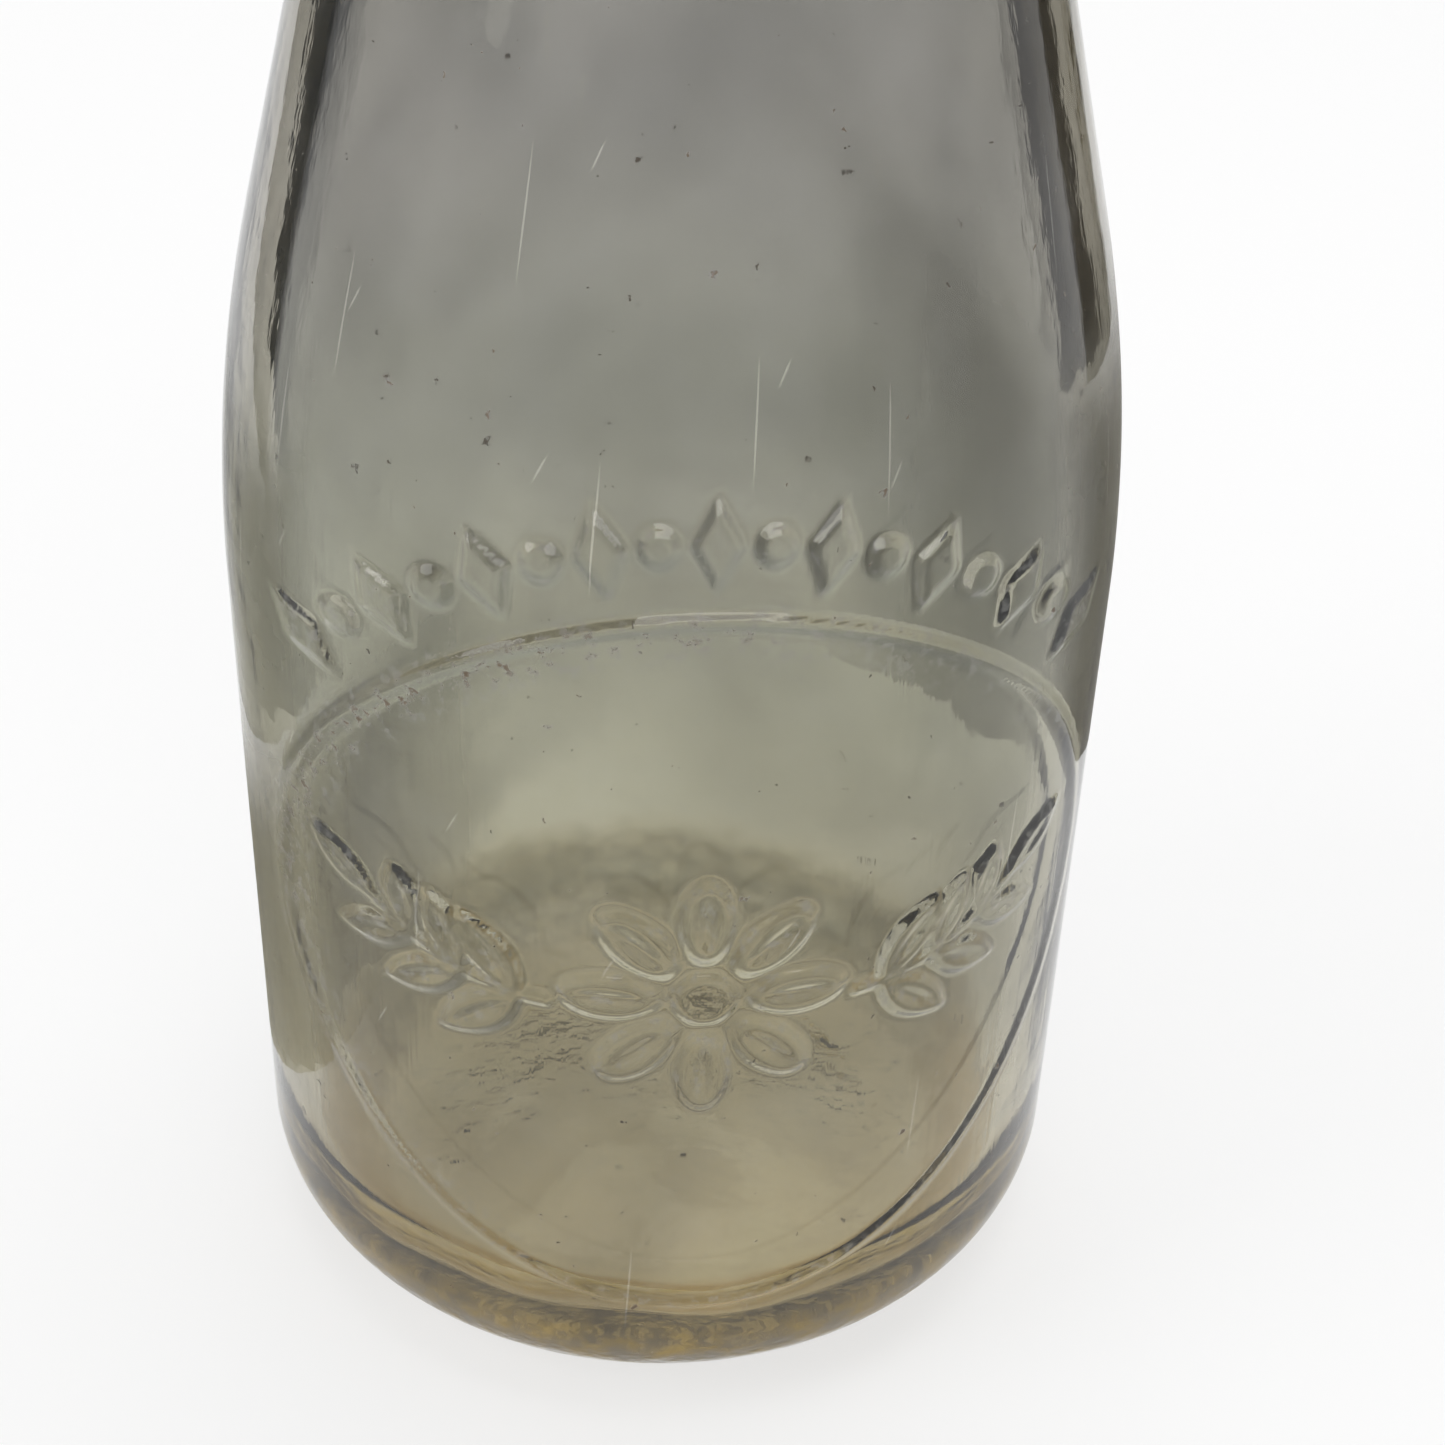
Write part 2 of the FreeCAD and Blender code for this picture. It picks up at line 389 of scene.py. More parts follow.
def garland(u, v):
    # lozenges and beads by turns along an arc over the ring, each measured in its own turned axes
    height = np.zeros_like(u)
    for place, turn in enumerate(np.linspace(-relief["arcSpan"], relief["arcSpan"], relief["arcCount"])):
        upward = u * math.sin(turn) + v * math.cos(turn)
        outward = upward - relief["arcRadius"]
        across = u * math.cos(turn) - v * math.sin(turn)
        if place % 2:
            mark = plateau(np.hypot(outward, across) - relief["beadRadius"])
        else:
            wide = np.abs(across) / relief["lozengeHalfWidth"]
            tall = np.abs(outward) / relief["lozengeHalfHeight"]
            mark = plateau((wide + tall - 1) * relief["lozengeHalfWidth"])
        height = np.maximum(height, np.where(upward > 0, mark, 0))
    return height


def reliefHeight(u, v):
    # the ring is worn lower down, where bottles rub in the crate
    fade = relief["wornMiddle"] + relief["wornSlope"] * v / relief["ringRadius"]
    worn = np.clip(fade, relief["wornLeast"], 1)
    ring = ridge(np.hypot(u, v) - relief["ringRadius"], relief["ringSpread"])
    ring = ring * relief["ringHeight"] * worn
    figures = np.maximum(np.maximum(daisy(u, v), sprig(u, v)), garland(u, v)) * relief["figureHeight"]
    # flatter towards the sides, where the mould draws off at an angle
    facing = np.sqrt(np.clip(1 - (u / bottle["radius"]) ** 2, 0, 1))
    share = np.clip(relief["sideGain"] * facing - relief["sideLoss"], relief["sideLeast"], 1)
    return np.maximum(ring, figures) * share


def settledDirt(u, v, raised):
    # dirt sits on the sloping edges of the relief, and most of all inside the ring at its upper left
    share = np.clip(raised / relief["figureHeight"], 0, 1)
    edges = 4 * share * (1 - share)
    inside = relief["ringRadius"] - np.hypot(u, v)
    corner = np.clip(-u / relief["ringRadius"], -0.3, 1) + np.clip(v / relief["ringRadius"], -0.2, 1)
    along = ridge(inside - relief["ringSpread"], relief["dirtReach"]) * np.clip(corner / 1.3, 0, 1)
    return np.maximum(relief["edgeDirt"] * edges, along)


def slowWave(angle, z, phase):
    # a sum of broad waves round and along the bottle, between about -1 and 1
    turns = (1, 2, 3, 5, 4, 7)
    rises = (38, -61, 84, 47, -120, 66)
    sizes = (0.30, 0.24, 0.18, 0.12, 0.09, 0.07)
    total = 0
    for count, (turn, rise, size) in enumerate(zip(turns, rises, sizes)):
        total = total + size * np.sin(turn * angle + rise * z + phase + 2.4 * count)
    return total


def floorWave(x, y):
    # crossed waves, each 14 to 19 mm long
    crossed = np.sin(x / (2.9 * mm) + 0.6) * np.sin(y / (2.6 * mm) + 1.1)
    return 0.6 * crossed + 0.4 * np.sin((x + 0.7 * y) / (2.3 * mm) + 2.0)


def makeBottle():
    # the half section turned about Z, each point moved along its normal by relief, sag and waves
    outside = chain(outerRuns())
    lip = chain(lipRuns())
    inside = chain(innerRuns())
    profile = np.vstack((outside, lip[1:], inside[1:]))
    normal = profileNormals(profile)
    angle = columnAngles()[None, :]
    z = profile[:, 1:2]
    row = np.arange(len(profile))[:, None]
    side = (row < len(outside)) & (z > bottle["heelRadius"] - 1e-9)
    within = row >= len(outside) + len(lip) - 1
    front = np.cos(angle) > 0
    u = bottle["radius"] * np.sin(angle) + 0 * z
    v = z - relief["centreHeight"] + 0 * angle
    raised = np.where(side & front & (z < bottle["panelTop"]), reliefHeight(u, v), 0)
    sag = -bottle["outerSag"] * (0.5 + 0.5 * slowWave(angle, z, 0.7)) * side
    belowNeck = np.clip((neckBase - z) / bottle["calmReach"], 0, 1)
    calm = belowNeck * np.clip(profile[:, :1] / bottle["calmReach"], 0, 1)
    wave = bottle["innerWave"] * slowWave(angle, z, 2.9) * within * calm
    x, y = profile[:, :1] * np.sin(angle), profile[:, :1] * np.cos(angle)
    onFloor = within * np.clip((bottle["floorWaveTop"] - z) / bottle["floorWaveFade"], 0, 1)
    moved = raised + sag + wave + bottle["floorWave"] * floorWave(x, y) * onFloor
    radius = profile[:, :1] + normal[:, :1] * moved
    height = z + normal[:, 1:] * moved
    piece = turnedMesh("milkBottle", radius, height, angle)
    dirt = np.where(side & front & (z < bottle["panelTop"]), settledDirt(u, v, raised), 0)
    for name, share in (("settledDirt", dirt), ("outerSide", side + 0 * dirt)):
        marked = piece.data.attributes.new(name, "FLOAT", "POINT")
        marked.data.foreach_set("value", np.concatenate((share[1:-1].ravel(), (0, 0))))
    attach(piece, "bottle")
    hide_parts("glass_bottle")
    print("bottle ready, faces", len(piece.data.polygons))
    return piece


# Waxed paperboard cap
capSizes = {
    "crown": 0.10 * mm,
    "edgeRounding": 0.35 * mm,
    "pressedRing": 17.2 * mm,      # a shallow ring pressed into the top
    "pressedDepth": 0.12 * mm,
    "pressedSpread": 0.7 * mm,
    "columns": 144,
}


def makeCap():
    # a turned disc, crowned as the square of the way out, with a pressed ring
    radius, rounding = capHigh.x, capSizes["edgeRounding"]
    across = np.linspace(0, radius - rounding, 90)
    pressed = ridge(across - capSizes["pressedRing"], capSizes["pressedSpread"])
    topZ = capHigh.z - capSizes["crown"] * (across / radius) ** 2 - capSizes["pressedDepth"] * pressed
    top = np.column_stack((across, topZ))[::-1]
    under = linePoints((0, capLow.z), (radius - rounding, capLow.z), 12)
    lowEdge = arcPoints((radius - rounding, capLow.z + rounding), rounding, -math.pi / 2, 0, 5)
    highEdge = arcPoints((radius - rounding, topZ[-1] - rounding), rounding, 0, math.pi / 2, 5)
    profile = np.vstack((under, lowEdge[1:], highEdge, top[1:]))
    angle = np.linspace(0, 2 * math.pi, capSizes["columns"], endpoint=False)[None, :]
    piece = turnedMesh("plugCap", profile[:, :1] + 0 * angle, profile[:, 1:] + 0 * angle, angle)
    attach(piece, "cap")
    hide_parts("cap_disc")
    print("cap ready")
    return piece


# Paper pull tab, one strip that bends at its crease
footLow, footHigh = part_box("pull_tab_foot")
flapLow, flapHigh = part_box("pull_tab_flap")
tabSizes = {
    "cornerRadius": 3.0 * mm,
    "lift": 0.5 * mm,              # the free end curls up a little
    "creaseDent": 0.12 * mm,
    "creaseSpread": 0.6 * mm,
    "edgeTurn": 0.12,              # lower is squarer
    "edgeFlat": 1.02,              # just over 1, so that the edges have a narrow flat
    "alongSteps": 120,
    "acrossSteps": 40,
    "bendReach": 0.5 * mm,
}


def makeTab():
    # rows run along Y; each row is a flat closed loop whose half width follows the rounded ends
    corner = tabSizes["cornerRadius"]
    half = footHigh.x
    thick = footHigh.z - footLow.z
    start, end = footLow.y, flapHigh.y
    s = np.linspace(0, math.pi, tabSizes["alongSteps"])
    y = (start + end) / 2 - (end - start) / 2 * np.cos(s)
    toEnd = np.clip(np.minimum(y - start, end - y), 0, corner)
    width = half - corner + np.sqrt(corner**2 - (corner - toEnd) ** 2)
    loop = np.linspace(0, 2 * math.pi, 2 * tabSizes["acrossSteps"], endpoint=False)
    # the loop has straight faces and tight round edges: width times cosine, thickness times tanh of sine
    x = width[:, None] * np.clip(np.cos(loop) * tabSizes["edgeFlat"], -1, 1)
    level = 0.5 * thick * np.tanh(np.sin(loop) / tabSizes["edgeTurn"])
    curl = tabSizes["lift"] * (np.clip(y, 0, None) / end) ** 2
    dent = -tabSizes["creaseDent"] * ridge(y, tabSizes["creaseSpread"])
    z = (footLow.z + footHigh.z) / 2 + level + curl[:, None] + np.where(level > 0, dent[:, None], 0)
    grid = np.stack((x, np.broadcast_to(y[:, None], x.shape), z), axis=-1)
    rows, columns = x.shape
    index = np.arange(rows * columns).reshape(rows, columns)
    along = np.roll(index, -1, axis=1)
    quads = np.stack((index[:-1], index[1:], along[1:], along[:-1]), axis=-1).reshape(-1, 4)
    faces = quads.tolist() + [index[0].tolist(), index[-1][::-1].tolist()]
    piece = putMesh("pullTab", grid.reshape(-1, 3), faces)
    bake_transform(piece)
    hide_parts("pull_tab_foot", "pull_tab_flap")
    print("tab ready")
    return piece


# Materials

def newTree(name):
    material = bpy.data.materials.new(name)
    material.use_nodes = True
    tree = material.node_tree
    return material, tree, tree.nodes["Principled BSDF"]


def addNode(tree, kind, inputs=None, **settings):
    node = tree.nodes.new(kind)
    for key, value in settings.items():
        setattr(node, key, value)
    for key, value in (inputs or {}).items():
        socket = node.inputs[key]
        if isinstance(value, bpy.types.NodeSocket):
            tree.links.new(value, socket)
        else:
            socket.default_value = value
    return node


def objectPoint(tree):
    return addNode(tree, "ShaderNodeTexCoord").outputs["Object"]


def attribute(tree, name):
    return addNode(tree, "ShaderNodeAttribute", attribute_name=name).outputs["Fac"]


def objectPlace(tree, scale=(1, 1, 1)):
    # Object coordinates in millimetres, stretched along an axis where a pattern needs it
    size = [part / mm for part in scale]
    return addNode(tree, "ShaderNodeMapping", {"Vector": objectPoint(tree), "Scale": size}).outputs["Vector"]


def noise(tree, place, scale, detail=3.0, roughness=0.5, distortion=0.0):
    inputs = {
        "Vector": place, "Scale": scale, "Detail": detail,
        "Roughness": roughness, "Distortion": distortion,
    }
    return addNode(tree, "ShaderNodeTexNoise", inputs).outputs["Fac"]


def band(tree, value, low, high, start=0.0, end=1.0):
    # start below low, end above high, and a smooth step between them
    inputs = {"Value": value, "From Min": low, "From Max": high, "To Min": start, "To Max": end}
    return addNode(tree, "ShaderNodeMapRange", inputs, interpolation_type="SMOOTHSTEP").outputs["Result"]


def calculate(tree, operation, first, second=0.0):
    return addNode(tree, "ShaderNodeMath", {0: first, 1: second}, operation=operation).outputs[0]


def mixColour(tree, factor, first, second, blend="MIX"):
    inputs = {0: factor, 6: first, 7: second}
    return addNode(tree, "ShaderNodeMix", inputs, data_type="RGBA", blend_type=blend).outputs[2]


def specks(tree, place, scale, size, share, space="3D"):
    # round dots in some of the cells of a scattered grid, size in cells
    inputs = {"Vector": place, "Scale": scale}
    cells = addNode(tree, "ShaderNodeTexVoronoi", inputs, voronoi_dimensions=space)
    dot = band(tree, cells.outputs["Distance"], 0.4 * size, size, 1.0, 0.0)
    chance = addNode(tree, "ShaderNodeSeparateColor", {0: cells.outputs["Color"]}).outputs[0]
    return calculate(tree, "MULTIPLY", dot, calculate(tree, "LESS_THAN", chance, share))


def dent(tree, shader, height, depth, before=None):
    # fine unevenness: height runs from 0 to 1 and depth is in metres
    inputs = {"Height": height, "Strength": 1.0, "Distance": depth}
    if before:
        inputs["Normal"] = before
    normal = addNode(tree, "ShaderNodeBump", inputs).outputs["Normal"]
    tree.links.new(normal, shader.inputs["Normal"])
    return normal


def objectReach(tree):
    # distance from the bottle's axis
    inputs = {0: objectPoint(tree), 1: (1, 1, 0)}
    level = addNode(tree, "ShaderNodeVectorMath", inputs, operation="MULTIPLY").outputs[0]
    return addNode(tree, "ShaderNodeVectorMath", {0: level}, operation="LENGTH").outputs["Value"]


def wrappedPlace(tree, lean, upScale):
    # way round the side and height in millimetres, leant by some degrees; the two ends meet at the back
    parts = addNode(tree, "ShaderNodeSeparateXYZ", {0: objectPoint(tree)}).outputs
    turn = calculate(tree, "ARCTAN2", parts["X"], calculate(tree, "MULTIPLY", parts["Y"], -1.0))
    around = calculate(tree, "MULTIPLY", turn, bottle["radius"] / mm)
    up = calculate(tree, "DIVIDE", parts["Z"], mm)
    flat = addNode(tree, "ShaderNodeCombineXYZ", {"X": around, "Y": up}).outputs[0]
    turned = {"Vector": flat, "Rotation": (0, 0, math.radians(lean))}
    stretched = {
        "Vector": addNode(tree, "ShaderNodeMapping", turned).outputs["Vector"],
        "Scale": (1, upScale, 1),
    }
    return addNode(tree, "ShaderNodeMapping", stretched).outputs["Vector"]


def objectHeight(tree):
    return addNode(tree, "ShaderNodeSeparateXYZ", {0: objectPoint(tree)}).outputs["Z"]


glassLook = {
    "ior": 1.52,
    "absorbColour": (0.38, 0.309, 0.055, 1),
    "absorbDensity": 85.0,
    "tints": (                     # height, colour: greyer up the bottle, warm in the base and the heel
        (2 * mm, (0.92, 0.84, 0.66, 1)),
        (9 * mm, (0.82, 0.75, 0.58, 1)),
        (15 * mm, (0.80, 0.785, 0.70, 1)),
        (34 * mm, (0.72, 0.725, 0.665, 1)),
        (58 * mm, (0.645, 0.67, 0.635, 1)),
        (88 * mm, (0.60, 0.605, 0.635, 1)),
        (110 * mm, (0.62, 0.625, 0.645, 1)),
        (128 * mm, (0.84, 0.845, 0.82, 1)),
    ),
    "patches": (0.84, 1.12),       # the tint between its darkest and palest clouds
    "film": (0.005, 0.05),         # share of the surface under a dull film
    "scuffColour": (0.95, 0.95, 0.92, 1),
    "scuffFilm": 0.15,
    # lean in degrees, upward scale, cells to a millimetre, size and share of the cells
    "scuffs": (
        (3, 0.02, 0.3, 0.03, 0.6),
        (28, 0.08, 0.3, 0.03, 0.3),
    ),
    "dots": (                      # cells to a millimetre, size and share of the cells
        (0.15, 0.06, 0.6),
        (0.45, 0.07, 0.6),
    ),
    "dirtColour": (0.13, 0.085, 0.045, 1),
    "dirtFilm": 0.7,
    "dirtRoughness": 0.4,
    "heelColour": (0.84, 0.57, 0.11, 1),
    "heelFilm": 0.28,
    # darker grey at the back of the heel: less honey, and painted shade
    "heelBackGreyAndShade": (0.42, 0.39, 0.27, 1),
    "heelDepths": (-10 * mm, 14 * mm),  # along Y, where the one gives way to the other
    "heelTop": (7 * mm, 14 * mm),
    "heelSide": (22.5 * mm, 27 * mm),  # from the axis
    "mottleTop": (4 * mm, 8 * mm),
    "rippleDepth": 0.05 * mm,
    "streakDepth": 0.012 * mm,
    "heelDepth": 0.40 * mm,
}


def heightRamp(tree, stops):
    # a colour ramp over the height in Object coordinates, through the stops given in metres
    low, high = stops[0][0], stops[-1][0]
    inputs = {"Value": objectHeight(tree), "From Min": low, "From Max": high}
    share = addNode(tree, "ShaderNodeMapRange", inputs).outputs["Result"]
    ramp = addNode(tree, "ShaderNodeValToRGB", {"Fac": share})
    ramp.color_ramp.interpolation = "EASE"
    elements = ramp.color_ramp.elements
    while len(elements) < len(stops):
        elements.new(0.5)
    for element, (stop, colour) in zip(elements, stops):
        element.position = (stop - low) / (high - low)
        element.color = colour
    return ramp.outputs["Color"]


def heelShare(tree, mottle):
    # 1 round the foot of the side, fading up it and in under the base, and patchy
    nearFloor = band(tree, objectHeight(tree), *glassLook["heelTop"], 1.0, 0.0)
    heel = calculate(tree, "MULTIPLY", nearFloor, band(tree, objectReach(tree), *glassLook["heelSide"]))
    return calculate(tree, "MULTIPLY", heel, band(tree, mottle, 0.30, 0.70, 0.50, 1.0))


def heelTintAndBackShade(tree):
    # honey at the front, greyer and darker towards the back; the darkening is painted shade
    depth = addNode(tree, "ShaderNodeSeparateXYZ", {0: objectPoint(tree)}).outputs["Y"]
    behind = band(tree, depth, *glassLook["heelDepths"])
    return mixColour(tree, behind, glassLook["heelColour"], glassLook["heelBackGreyAndShade"])


def glassDirt(tree, place):
    # dirt along the relief where the noise leaves it, and in ragged dots
    patchy = band(tree, noise(tree, place, 1.1, 5.0, 0.7), 0.50, 0.64)
    dirt = calculate(tree, "MULTIPLY", attribute(tree, "settledDirt"), patchy)
    inputs = {"Vector": place, "Scale": 2.5, "Detail": 2.0}
    ragged = addNode(tree, "ShaderNodeTexNoise", inputs).outputs["Color"]
    shaken = addNode(tree, "ShaderNodeVectorMath", {0: ragged, 1: place}, operation="ADD").outputs[0]
    for cells, size, share in glassLook["dots"]:
        dirt = calculate(tree, "MAXIMUM", dirt, specks(tree, shaken, cells, size, share))
    return dirt


def glassScuffs(tree):
    # pale lines on the outer face alone: dots drawn out upright, and others short and slanting
    scuff = 0.0
    for lean, upScale, cells, size, share in glassLook["scuffs"]:
        lines = specks(tree, wrappedPlace(tree, lean, upScale), cells, size, share, "2D")
        scuff = calculate(tree, "MAXIMUM", scuff, lines)
    return calculate(tree, "MULTIPLY", scuff, attribute(tree, "outerSide"))


def dentGlass(tree, shader, place, mottle):
    # slow ripples, drawn streaks up the sides and a mottled heel
    ripple = noise(tree, place, 0.16, 2.0, 0.5)
    normal = dent(tree, shader, ripple, glassLook["rippleDepth"])
    streak = noise(tree, objectPlace(tree, (1, 1, 0.03)), 0.8, 3.0, 0.6)
    normal = dent(tree, shader, streak, glassLook["streakDepth"], normal)
    nearFloor = band(tree, objectHeight(tree), *glassLook["mottleTop"], 1.0, 0.0)
    dent(tree, shader, calculate(tree, "MULTIPLY", mottle, nearFloor), glassLook["heelDepth"], normal)


def makeGlass():
    material, tree, shader = newTree("strawGlass")
    place = objectPlace(tree)
    mottle = noise(tree, place, 0.42, 3.0, 0.55)
    honey = heelShare(tree, mottle)
    dirt = glassDirt(tree, place)
    scuff = glassScuffs(tree)
    # tint by height with broad clouds, then honey in the heel with painted shade at its back, scuffs and
    # dirt
    cloud = band(tree, noise(tree, place, 0.04, 2.0, 0.45, 0.8), 0.32, 0.68, *glassLook["patches"])
    tint = mixColour(tree, 1.0, heightRamp(tree, glassLook["tints"]), cloud, "MULTIPLY")
    tint = mixColour(tree, honey, tint, heelTintAndBackShade(tree))
    tint = mixColour(tree, scuff, tint, glassLook["scuffColour"])
    tint = mixColour(tree, dirt, tint, glassLook["dirtColour"])
    tree.links.new(tint, shader.inputs["Base Color"])
    # a dull film that comes and goes, and dirt that lets less light through
    film = band(tree, noise(tree, place, 0.11, 4.0, 0.6), 0.4, 0.75, *glassLook["film"])
    for layer, cover in ((honey, "heelFilm"), (scuff, "scuffFilm"), (dirt, "dirtFilm")):
        film = calculate(tree, "MAXIMUM", film, calculate(tree, "MULTIPLY", layer, glassLook[cover]))
    tree.links.new(calculate(tree, "SUBTRACT", 1.0, film), shader.inputs["Transmission Weight"])
    polish = band(tree, noise(tree, place, 0.9, 4.0, 0.6), 0.35, 0.8, 0.01, 0.05)
    dull = calculate(tree, "MULTIPLY", dirt, glassLook["dirtRoughness"])
    tree.links.new(calculate(tree, "ADD", polish, dull), shader.inputs["Roughness"])
    dentGlass(tree, shader, place, mottle)
    shader.inputs["IOR"].default_value = glassLook["ior"]
    volume = addNode(tree, "ShaderNodeVolumeAbsorption")
    volume.inputs["Color"].default_value = glassLook["absorbColour"]
    volume.inputs["Density"].default_value = glassLook["absorbDensity"]
    tree.links.new(volume.outputs["Volume"], tree.nodes["Material Output"].inputs["Volume"])
    return material


boardLook = {
    "pale": (0.70, 0.58, 0.39, 1),
    "dark": (0.58, 0.46, 0.28, 1),
    "fibre": (0.34, 0.24, 0.13, 1),
    "edge": (0.44, 0.32, 0.18, 1),
    "line": (0.16, 0.22, 0.30, 1),
    "lines": (18.9 * mm, 15.4 * mm),   # printed rings
    "lineHalf": 0.28 * mm,
    "fibreDepth": 0.03 * mm,
}


def makeBoard():
    # waxed board: pulp with loose fibres, two thin printed rings and a rubbed edge
    material, tree, shader = newTree("waxedBoard")
    place = objectPlace(tree)
    pulp = noise(tree, place, 0.35, 5.0, 0.6)
    fibre = noise(tree, objectPlace(tree, (1, 0.25, 1)), 2.2, 4.0, 0.65, 1.2)
    tint = mixColour(tree, band(tree, pulp, 0.35, 0.65), boardLook["dark"], boardLook["pale"])
    tint = mixColour(tree, band(tree, fibre, 0.62, 0.72), tint, boardLook["fibre"])
    away = objectReach(tree)
    worn = band(tree, noise(tree, place, 1.3, 4.0, 0.6), 0.26, 0.46)
    for radius in boardLook["lines"]:
        off = calculate(tree, "ABSOLUTE", calculate(tree, "SUBTRACT", away, radius))
        ink = band(tree, off, 0.75 * boardLook["lineHalf"], boardLook["lineHalf"], 0.85, 0.0)
        upper = calculate(tree, "GREATER_THAN", objectHeight(tree), (capLow.z + capHigh.z) / 2)
        ink = calculate(tree, "MULTIPLY", calculate(tree, "MULTIPLY", ink, worn), upper)
        tint = mixColour(tree, ink, tint, boardLook["line"])
    rubbed = band(tree, away, capHigh.x - 0.9 * mm, capHigh.x, 0.0, 0.8)
    tint = mixColour(tree, calculate(tree, "MULTIPLY", rubbed, worn), tint, boardLook["edge"])
    tree.links.new(tint, shader.inputs["Base Color"])
    tree.links.new(band(tree, pulp, 0.35, 0.7, 0.32, 0.55), shader.inputs["Roughness"])
    shader.inputs["Coat Weight"].default_value = 0.25
    shader.inputs["Coat Roughness"].default_value = 0.3
    dent(tree, shader, fibre, boardLook["fibreDepth"])
    return material


paperLook = {
    "pale": (0.76, 0.68, 0.52, 1),
    "dark": (0.64, 0.55, 0.39, 1),
    "handled": (0.42, 0.31, 0.19, 1),
    "handledFrom": 9.0 * mm,           # fingers have darkened the free end
    "fibreDepth": 0.02 * mm,
}


def makePaper():
    # fibres along the strip, darkened by fingers at its free end
    material, tree, shader = newTree("tabPaper")
    place = objectPlace(tree)
    fibre = noise(tree, objectPlace(tree, (1, 0.3, 1)), 2.6, 5.0, 0.6, 0.8)
    tint = mixColour(tree, band(tree, fibre, 0.3, 0.7), paperLook["dark"], paperLook["pale"])
    along = addNode(tree, "ShaderNodeSeparateXYZ", {0: objectPoint(tree)}).outputs["Y"]
    handled = band(tree, along, paperLook["handledFrom"], flapHigh.y, 0.0, 0.6)
    smear = band(tree, noise(tree, place, 0.5, 4.0, 0.6), 0.35, 0.65)
    tint = mixColour(tree, calculate(tree, "MULTIPLY", handled, smear), tint, paperLook["handled"])
    tree.links.new(tint, shader.inputs["Base Color"])
    tree.links.new(band(tree, fibre, 0.3, 0.7, 0.7, 0.9), shader.inputs["Roughness"])
    dent(tree, shader, fibre, paperLook["fibreDepth"])
    return material


steelLook = {
    "bright": (0.56, 0.55, 0.52, 1),
    "rust": (0.27, 0.14, 0.07, 1),
    "rustDulls": 0.8,                  # share of the metal's look that rust takes away
}


def makeSteel():
    # bright wire with spots of rust
    material, tree, shader = newTree("stapleSteel")
    place = objectPlace(tree)
    spots = band(tree, noise(tree, place, 1.8, 4.0, 0.6), 0.48, 0.66)
    tint = mixColour(tree, spots, steelLook["bright"], steelLook["rust"])
    tree.links.new(tint, shader.inputs["Base Color"])
    dull = calculate(tree, "MULTIPLY", spots, steelLook["rustDulls"])
    tree.links.new(calculate(tree, "SUBTRACT", 1.0, dull), shader.inputs["Metallic"])
    tree.links.new(band(tree, spots, 0.0, 1.0, 0.28, 0.75), shader.inputs["Roughness"])
    return material


# Studio

studio = {
    "floorRadius": 1.5,
    "sweepRadius": 0.7,
    "wallTop": 2.4,
    "floorDrop": 0.1 * mm,
    "floorColour": (0.90, 0.90, 0.90, 1),
    "floorWhite": (0.66, 0.86, 0.65),  # share that looks plain white: at the bottle, round it, far off
    "whiteReach": (0.07, 0.20, 0.5, 1.2),
    "skyLight": 0.3,
    # screens on the floor, seen only in the glass as painted reflections of dark and pale surroundings: two
    # ends, height, soft share of the edges, colour
    "screens": (
        ((-0.16, 0.06), (-0.56, 0.86), 0.30, 0.02, (0.010, 0.014, 0.020, 1)),
        ((0.165, 0.185), (0.27, 0.11), 0.30, 0.10, (0.035, 0.030, 0.026, 1)),
        ((-0.035, 0.090), (-0.130, -0.010), 0.055, 0.48, (0.55, 0.55, 0.50, 1)),
        ((0.016, 0.090), (0.125, 0.000), 0.068, 0.42, (0.33, 0.32, 0.29, 1)),
        ((-0.010, 0.047), (-0.070, -0.030), 0.040, 0.45, (0.88, 0.86, 0.74, 1)),
    ),
    "longestPath": 24,             # light is turned many times inside thick glass
    "lampsAim": (0, 0, 60 * mm),
    "lamps": (                     # name, place, size, power
        ("topSoftbox", (0.1, 0.2, 0.9), (0.8, 0.8), 5.5),
        ("leftSoftbox", (-0.7, -0.2, 0.5), (0.4, 0.6), 2.0),
        ("frontSoftbox", (0.05, -0.60, 0.45), (0.6, 0.35), 1.6),
    ),
}


def seenDirectly(tree):
    # 1 for what the camera sees, straight on, mirrored or through glass
    path = addNode(tree, "ShaderNodeLightPath")
    either = calculate(tree, "MAXIMUM", path.outputs["Is Camera Ray"], path.outputs["Is Glossy Ray"])
    return calculate(tree, "MAXIMUM", either, path.outputs["Is Transmission Ray"])


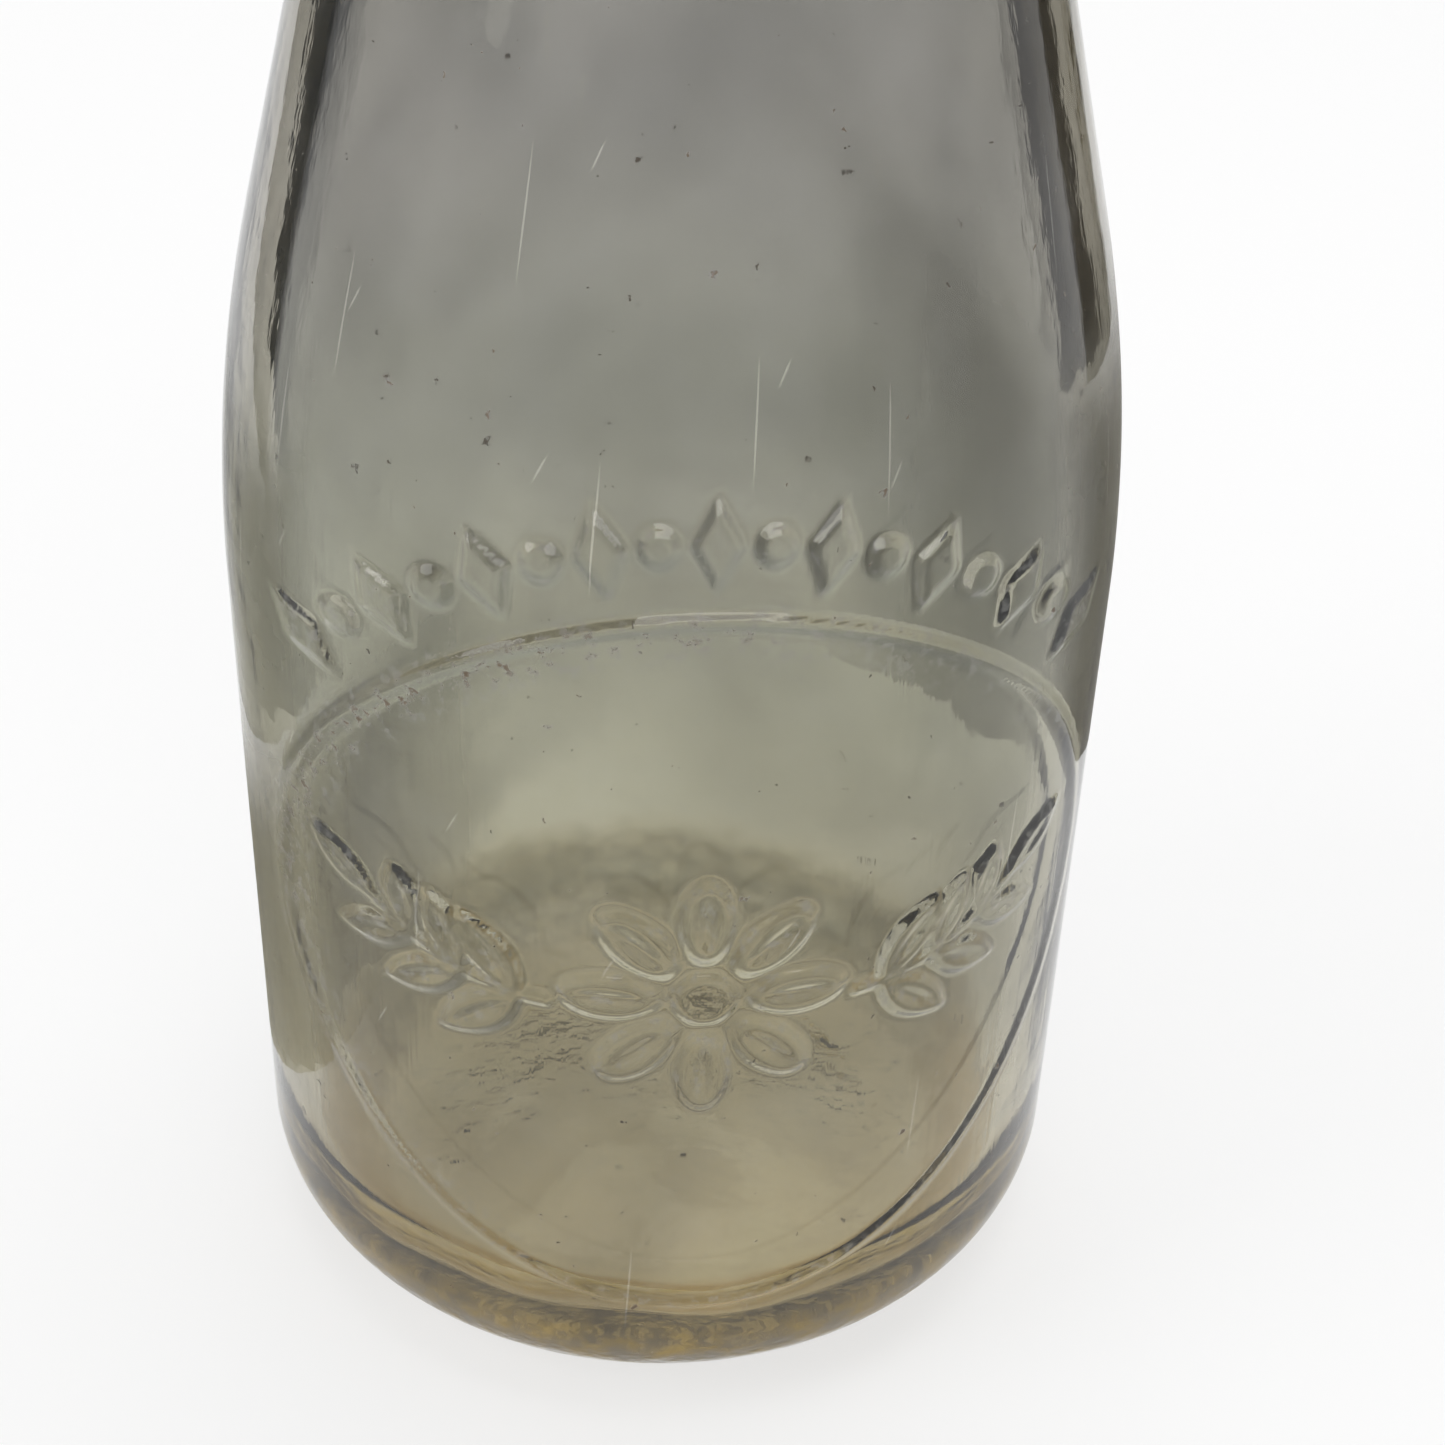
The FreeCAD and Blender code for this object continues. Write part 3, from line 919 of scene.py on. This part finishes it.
def makeFloor():
    # a round floor that sweeps up into a wall, turned about Z from its half section
    drop, sweep, edge = studio["floorDrop"], studio["sweepRadius"], studio["floorRadius"]
    flat = linePoints((0, -drop), (edge, -drop), 12)
    bend = arcPoints((edge, sweep - drop), sweep, -math.pi / 2, 0, 14)
    wall = linePoints((edge + sweep, sweep - drop), (edge + sweep, studio["wallTop"]), 4)
    profile = chain([flat, bend, wall])
    angle = np.linspace(0, 2 * math.pi, 72, endpoint=False)
    radius = profile[1:, :1] + 0 * angle
    height = profile[1:, 1:] + 0 * angle
    grid = np.stack((radius * np.sin(angle), -radius * np.cos(angle), height), axis=-1)
    index = np.arange(radius.size).reshape(radius.shape)
    along = np.roll(index, -1, axis=1)
    quads = np.stack((index[:-1], index[1:], along[1:], along[:-1]), axis=-1).reshape(-1, 4)
    middle = [index[0].tolist()]
    floor = putMesh("paleFloor", grid.reshape(-1, 3), quads.tolist() + middle)
    material, tree, shader = newTree("paleFloor")
    shader.inputs["Base Color"].default_value = studio["floorColour"]
    shader.inputs["Roughness"].default_value = 0.9
    shader.inputs["Specular IOR Level"].default_value = 0.1
    away = addNode(tree, "ShaderNodeVectorMath", {0: objectPoint(tree)}, operation="LENGTH").outputs["Value"]
    beside, around, far = studio["floorWhite"]
    near = band(tree, away, *studio["whiteReach"][:2], beside, around)
    near = calculate(tree, "MINIMUM", near, band(tree, away, *studio["whiteReach"][2:], around, far))
    factor = calculate(tree, "MULTIPLY", seenDirectly(tree), near)
    glow = addNode(tree, "ShaderNodeEmission", {"Strength": 1.0})
    mixed = addNode(tree, "ShaderNodeMixShader", {0: factor, 1: shader.outputs[0], 2: glow.outputs[0]})
    tree.links.new(mixed.outputs[0], tree.nodes["Material Output"].inputs["Surface"])
    floor.data.materials.append(material)


def makeScreen(name, start, end, height, soft, colour):
    # an upright sheet from start to end: start + s (end - start), thinning out at its ends and its top
    s, t = np.meshgrid(np.linspace(0, 1, 41), np.linspace(0, 1, 41))
    x = start[0] + (end[0] - start[0]) * s
    y = start[1] + (end[1] - start[1]) * s
    index = np.arange(s.size).reshape(s.shape)
    lower, upper = index[:-1], index[1:]
    quads = np.stack((lower[:, :-1], lower[:, 1:], upper[:, 1:], upper[:, :-1]), axis=-1).reshape(-1, 4)
    screen = putMesh(name, np.stack((x, y, height * t), axis=-1).reshape(-1, 3), quads.tolist())
    inset = np.clip(np.minimum(np.minimum(s, 1 - s), 1 - t) / soft, 0, 1)
    veils = screen.data.attributes.new("veil", "FLOAT", "POINT")
    veils.data.foreach_set("value", 1 - ridge(inset, 1.0).ravel())
    material, tree, shader = newTree(name)
    shader.inputs["Base Color"].default_value = colour
    shader.inputs["Roughness"].default_value = 0.8
    clear = addNode(tree, "ShaderNodeBsdfTransparent").outputs[0]
    layers = {0: attribute(tree, "veil"), 1: clear, 2: shader.outputs[0]}
    mixed = addNode(tree, "ShaderNodeMixShader", layers)
    tree.links.new(mixed.outputs[0], tree.nodes["Material Output"].inputs["Surface"])
    screen.data.materials.append(material)
    # hidden from the camera, diffuse light and shadows: a painted reflection, seen only in glossy and
    # transmission rays
    screen.visible_camera = False
    screen.visible_diffuse = False
    screen.visible_shadow = False


def makeSky():
    world = bpy.data.worlds.new("softSky")
    world.use_nodes = True
    background = world.node_tree.nodes["Background"]
    background.inputs["Color"].default_value = (1, 1, 1, 1)
    background.inputs["Strength"].default_value = studio["skyLight"]
    scene.world = world


def makeLamp(name, place, target, size, power):
    data = bpy.data.lights.new(name, "AREA")
    data.shape = "RECTANGLE"
    data.size, data.size_y = size
    data.energy = power
    lamp = bpy.data.objects.new(name, data)
    aim = Vector(target) - Vector(place)
    lamp.matrix_world = Matrix.Translation(place) @ aim.to_track_quat("-Z", "Y").to_matrix().to_4x4()
    scene.collection.objects.link(lamp)


def makeStudio():
    makeFloor()
    makeSky()
    for place, screen in enumerate(studio["screens"]):
        makeScreen("paintedReflectionScreen" + str(place + 1), *screen)
    scene.cycles.max_bounces = studio["longestPath"]
    scene.cycles.glossy_bounces = studio["longestPath"]
    scene.cycles.transmission_bounces = studio["longestPath"]
    for name, place, size, power in studio["lamps"]:
        makeLamp(name, place, studio["lampsAim"], size, power)
    scene.view_settings.view_transform = "Standard"
    print("studio ready")


bottlePiece = makeBottle()
capPiece = makeCap()
tabPiece = makeTab()
bottlePiece.data.materials.append(makeGlass())
capPiece.data.materials.append(makeBoard())
tabPiece.data.materials.append(makePaper())
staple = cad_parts["tab_staple"]
steel = makeSteel()
for materialSlot in staple.material_slots:
    materialSlot.material = steel
print("materials ready")
makeStudio()
